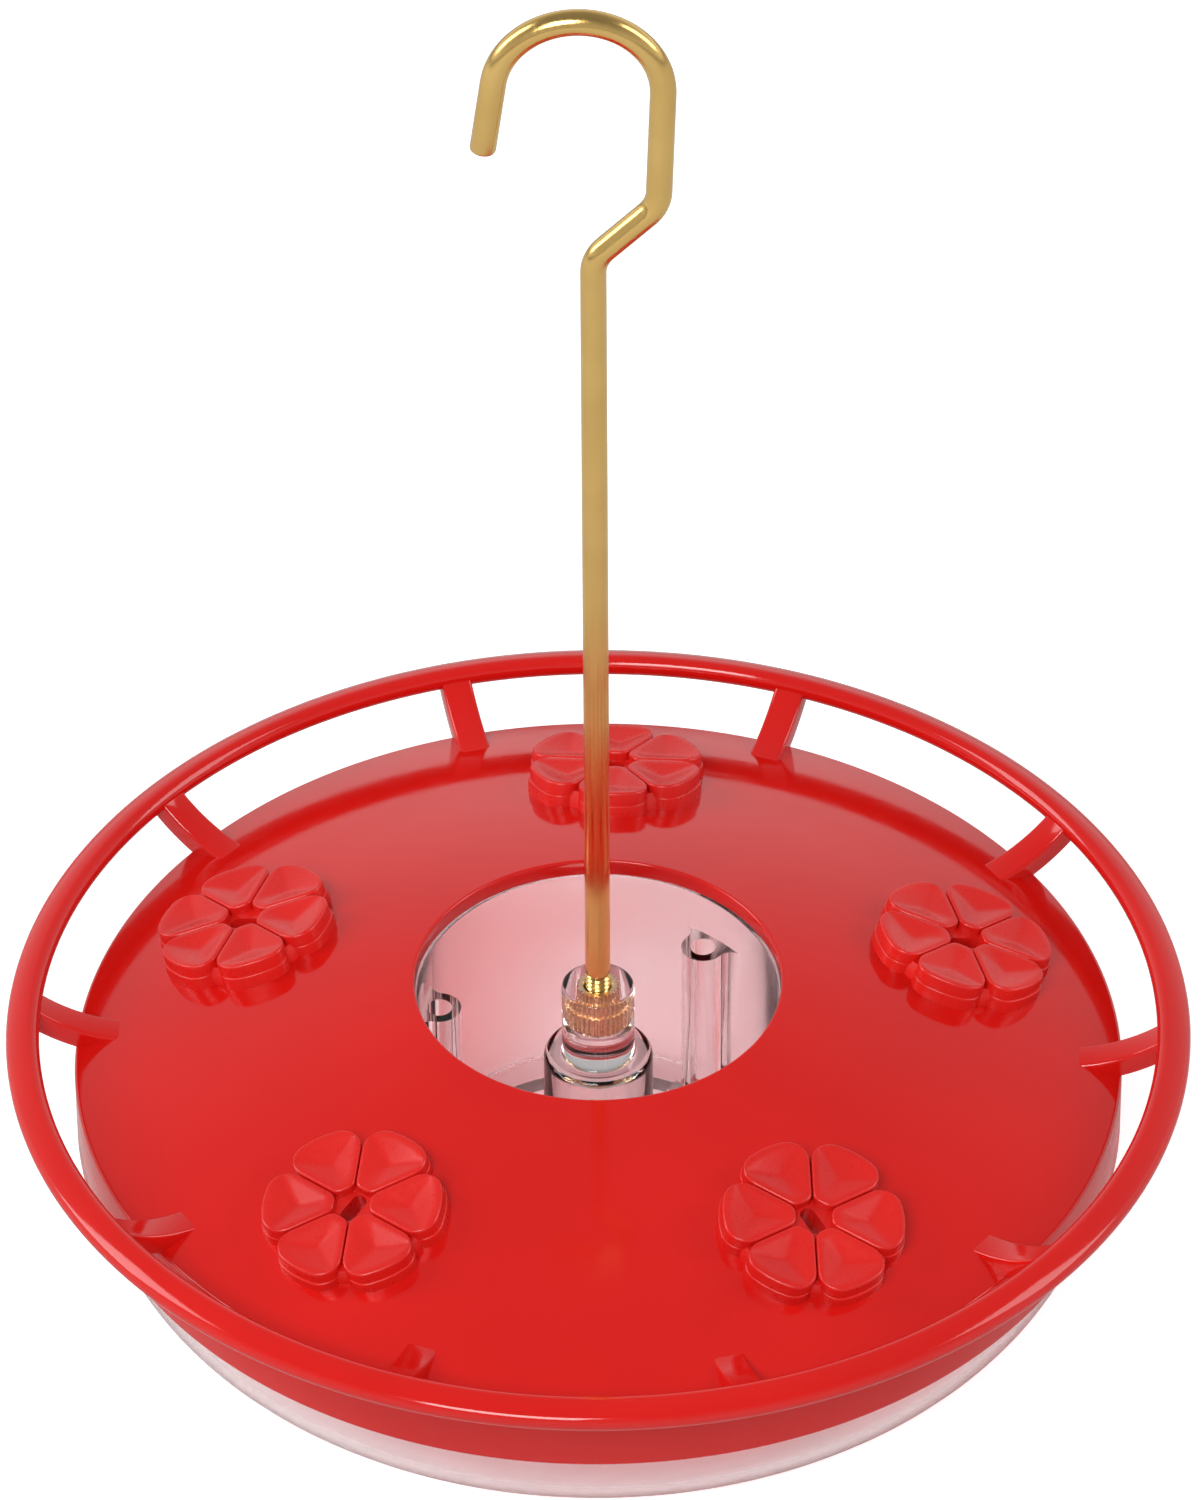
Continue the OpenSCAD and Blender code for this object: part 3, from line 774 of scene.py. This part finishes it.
class Bar:
    """A round bar that is drawn out end by end in the XZ plane."""

    def __init__(self, radius, start_z, segments=40):
        self.bm = bmesh.new()
        self.angle = 0.0
        self.place = Vector((0, 0, start_z))
        made = bmesh.ops.create_circle(self.bm, segments=segments, radius=radius)["verts"]
        bmesh.ops.translate(self.bm, vec=self.place, verts=made)
        self.ring = list({e for v in made for e in v.link_edges})

    def way(self):
        return Vector((math.sin(self.angle), 0, math.cos(self.angle)))

    def straight(self, length, grow=1.0, steps=1):
        for _ in range(steps):
            made = bmesh.ops.extrude_edge_only(self.bm, edges=self.ring)["geom"]
            self.ring = [g for g in made if isinstance(g, bmesh.types.BMEdge)]
            verts = [g for g in made if isinstance(g, bmesh.types.BMVert)]
            bmesh.ops.scale(self.bm, vec=(grow, grow, grow), verts=verts,
                            space=Matrix.Translation(-self.place))
            bmesh.ops.translate(self.bm, vec=self.way() * length / steps, verts=verts)
            self.place = self.place + self.way() * length / steps

    def bend(self, radius, degrees, steps):
        side = Vector((math.cos(self.angle), 0, -math.sin(self.angle)))
        pivot = self.place + side * radius * (1 if degrees > 0 else -1)
        turn = math.radians(degrees)
        verts = list({v for e in self.ring for v in e.verts})
        spun = bmesh.ops.spin(self.bm, geom=verts + self.ring, cent=pivot, axis=(0, 1, 0), angle=turn,
                              steps=steps)
        self.ring = [g for g in spun["geom_last"] if isinstance(g, bmesh.types.BMEdge)]
        self.place = pivot + Matrix.Rotation(turn, 3, "Y") @ (self.place - pivot)
        self.angle += turn

    def close(self):
        bmesh.ops.remove_doubles(self.bm, verts=self.bm.verts, dist=0.0005)
        bmesh.ops.holes_fill(self.bm, edges=[e for e in self.bm.edges if e.is_boundary])
        bmesh.ops.recalc_face_normals(self.bm, faces=self.bm.faces)
        return self.bm


def hook_rod():
    """The rod, bent aside and round into its hook, with a thread on its lower end."""
    root_r = ROD_R - THREAD_HEIGHT
    bar = Bar(root_r - 0.3, ROD_Z)
    bar.straight(0.3, root_r / (root_r - 0.3))
    bar.straight(THREAD_TOP_Z - ROD_Z - 0.3 - 0.45)
    bar.straight(0.45, ROD_R / root_r)
    bar.straight(BEND_Z - THREAD_TOP_Z, steps=12)
    bar.bend(BEND_R, 45, 12)
    bar.straight(10.5, steps=2)
    bar.bend(BEND_R, -43, 12)
    bar.straight(21.2, steps=3)
    bar.bend(HOOK_R, -174, 48)
    bar.straight(HOOK_LEG - 0.5, steps=2)
    bar.straight(0.3, (ROD_R - 0.12) / ROD_R)
    bar.straight(0.2, (ROD_R - 0.4) / (ROD_R - 0.12))
    bm = bar.close()
    add_thread(bm, root_r)
    return put_in_scene(bm, "hook_rod", SATIN_BRASS, 35)


def add_thread(bm, root_r):
    """Winds the thread's ridge round the rod's lower end."""
    turns = (THREAD_TOP_Z - 0.5 - ROD_Z - 0.5) / THREAD_PITCH
    ridge = [(root_r - 0.05, -0.46), (ROD_R - 0.03, -0.08), (ROD_R - 0.03, 0.08), (root_r - 0.05, 0.46)]
    points = [bm.verts.new((r, 0, ROD_Z + 0.5 + z)) for r, z in ridge]
    face = bm.faces.new(points)
    steps = int(turns * 40)
    bmesh.ops.spin(bm, geom=[face], cent=(0, 0, 0), axis=(0, 0, 1), angle=turns * 2 * math.pi, steps=steps,
                   dvec=(0, 0, turns * THREAD_PITCH / steps))
    bmesh.ops.recalc_face_normals(bm, faces=bm.faces)


# Studio


def studio_floor():
    """A pale floor that shows white to the camera."""
    bm = bmesh.new()
    bmesh.ops.create_grid(bm, x_segments=1, y_segments=1, size=6000)
    bmesh.ops.translate(bm, vec=(0, 0, -0.05), verts=bm.verts)
    material, tree, shader = new_material("white_floor")
    shader.inputs["Base Color"].default_value = (0.64, 0.64, 0.64, 1)
    shader.inputs["Roughness"].default_value = 0.9
    shader.inputs["Specular IOR Level"].default_value = 0
    glow_for_sight(tree, shader, 0.70, 0.2)
    floor = put_in_scene(bm, "studio_floor", material)
    return floor


def glow_for_sight(tree, shader, to_camera, through_plastic):
    """Adds a glow that only the camera and rays through the clear plastic see."""
    path = tree.nodes.new("ShaderNodeLightPath")
    seen = tree.nodes.new("ShaderNodeMath")
    seen.operation = "MULTIPLY"
    seen.inputs[1].default_value = to_camera
    total = tree.nodes.new("ShaderNodeMath")
    total.operation = "MULTIPLY_ADD"
    total.inputs[1].default_value = through_plastic
    tree.links.new(path.outputs["Is Camera Ray"], seen.inputs[0])
    tree.links.new(path.outputs["Is Transmission Ray"], total.inputs[0])
    tree.links.new(seen.outputs[0], total.inputs[2])
    shader.inputs["Emission Color"].default_value = (1, 1, 1, 1)
    tree.links.new(total.outputs[0], shader.inputs["Emission Strength"])


def studio_air():
    """Soft light from all round, white behind the object, dimmer in front and overhead."""
    world = bpy.data.worlds.new("studio")
    bpy.context.scene.world = world
    world.use_nodes = True
    tree = world.node_tree
    background = tree.nodes["Background"]
    place = tree.nodes.new("ShaderNodeTexCoord")
    parts = tree.nodes.new("ShaderNodeSeparateXYZ")
    tree.links.new(place.outputs["Generated"], parts.inputs["Vector"])
    height = grey_range(tree, parts.outputs["Z"], (0.02, 0.8), (1.0, 0.33))
    depth = grey_range(tree, parts.outputs["Y"], (-0.8, 0.6), (0.62, 1.0))
    both = tree.nodes.new("ShaderNodeMath")
    both.operation = "MULTIPLY"
    tree.links.new(height, both.inputs[0])
    tree.links.new(depth, both.inputs[1])
    path = tree.nodes.new("ShaderNodeLightPath")
    pick = tree.nodes.new("ShaderNodeMath")
    pick.operation = "MAXIMUM"
    tree.links.new(both.outputs[0], pick.inputs[0])
    tree.links.new(path.outputs["Is Camera Ray"], pick.inputs[1])
    tree.links.new(pick.outputs[0], background.inputs["Strength"])
    background.inputs["Color"].default_value = (1, 1, 1, 1)


def grey_range(tree, source, across, values):
    """A value that goes from one brightness to another across a stretch of its source."""
    spread = tree.nodes.new("ShaderNodeMapRange")
    spread.inputs["From Min"].default_value = across[0]
    spread.inputs["From Max"].default_value = across[1]
    spread.inputs["To Min"].default_value = values[0]
    spread.inputs["To Max"].default_value = values[1]
    tree.links.new(source, spread.inputs["Value"])
    return spread.outputs["Result"]


def softbox(name, place, target, size, power):
    """A square lamp that faces the object."""
    lamp = bpy.data.lights.new(name, "AREA")
    lamp.shape = "RECTANGLE"
    lamp.size, lamp.size_y = size
    lamp.energy = power
    obj = bpy.data.objects.new(name, lamp)
    bpy.context.scene.collection.objects.link(obj)
    obj.location = place
    obj.rotation_euler = (Vector(target) - Vector(place)).to_track_quat("-Z", "Y").to_euler()


def camera():
    """The photograph's view."""
    lens = bpy.data.cameras.new("view")
    lens.sensor_fit = "VERTICAL"
    lens.sensor_height = 36
    lens.lens = 36 * 10167 / 1500
    lens.clip_end = 100
    obj = bpy.data.objects.new("view", lens)
    bpy.context.scene.collection.objects.link(obj)
    pitch = math.radians(90 - 39.14)
    roll = math.radians(-0.35)
    heading = math.radians(-0.03)
    turn = Matrix.Rotation(heading, 4, "Z") @ Matrix.Rotation(pitch, 4, "X") @ Matrix.Rotation(roll, 4, "Z")
    obj.matrix_world = Matrix.Translation((0, -1.4658, 1.3047)) @ turn
    bpy.context.scene.camera = obj


bpy.context.scene.view_settings.view_transform = "Standard"
GLOSSY_RED = glossy_red("glossy_red_plastic")
ROOF_RED = roof_red()
SATIN_RED = satin_red()
CLEAR_PLASTIC = clear_plastic()
FROSTED_PLASTIC = frosted_plastic()
SATIN_BRASS = satin_brass()
INSERT_BRASS = insert_brass()

camera()
studio_floor()
studio_air()
softbox("front_softbox", (-0.5, -1.5, 1.6), (0, 0, 0.05), (0.9, 0.9), 28)
softbox("left_softbox", (-1.6, 0.2, 1.0), (0, 0, 0.1), (0.7, 1.2), 12)
softbox("right_softbox", (1.6, 0.0, 1.1), (0, 0, 0.1), (0.7, 1.2), 9)

for piece in (cover_shell(), perch_ring(), perch_struts(), flower_ports()):
    belongs(piece, "cover_body", "cover")
belongs(bowl(), "bowl_body", "bowl")
belongs(threaded_insert(), "bowl_body", "threaded_insert")
belongs(hook_rod(), "rod_body", "hook_rod")
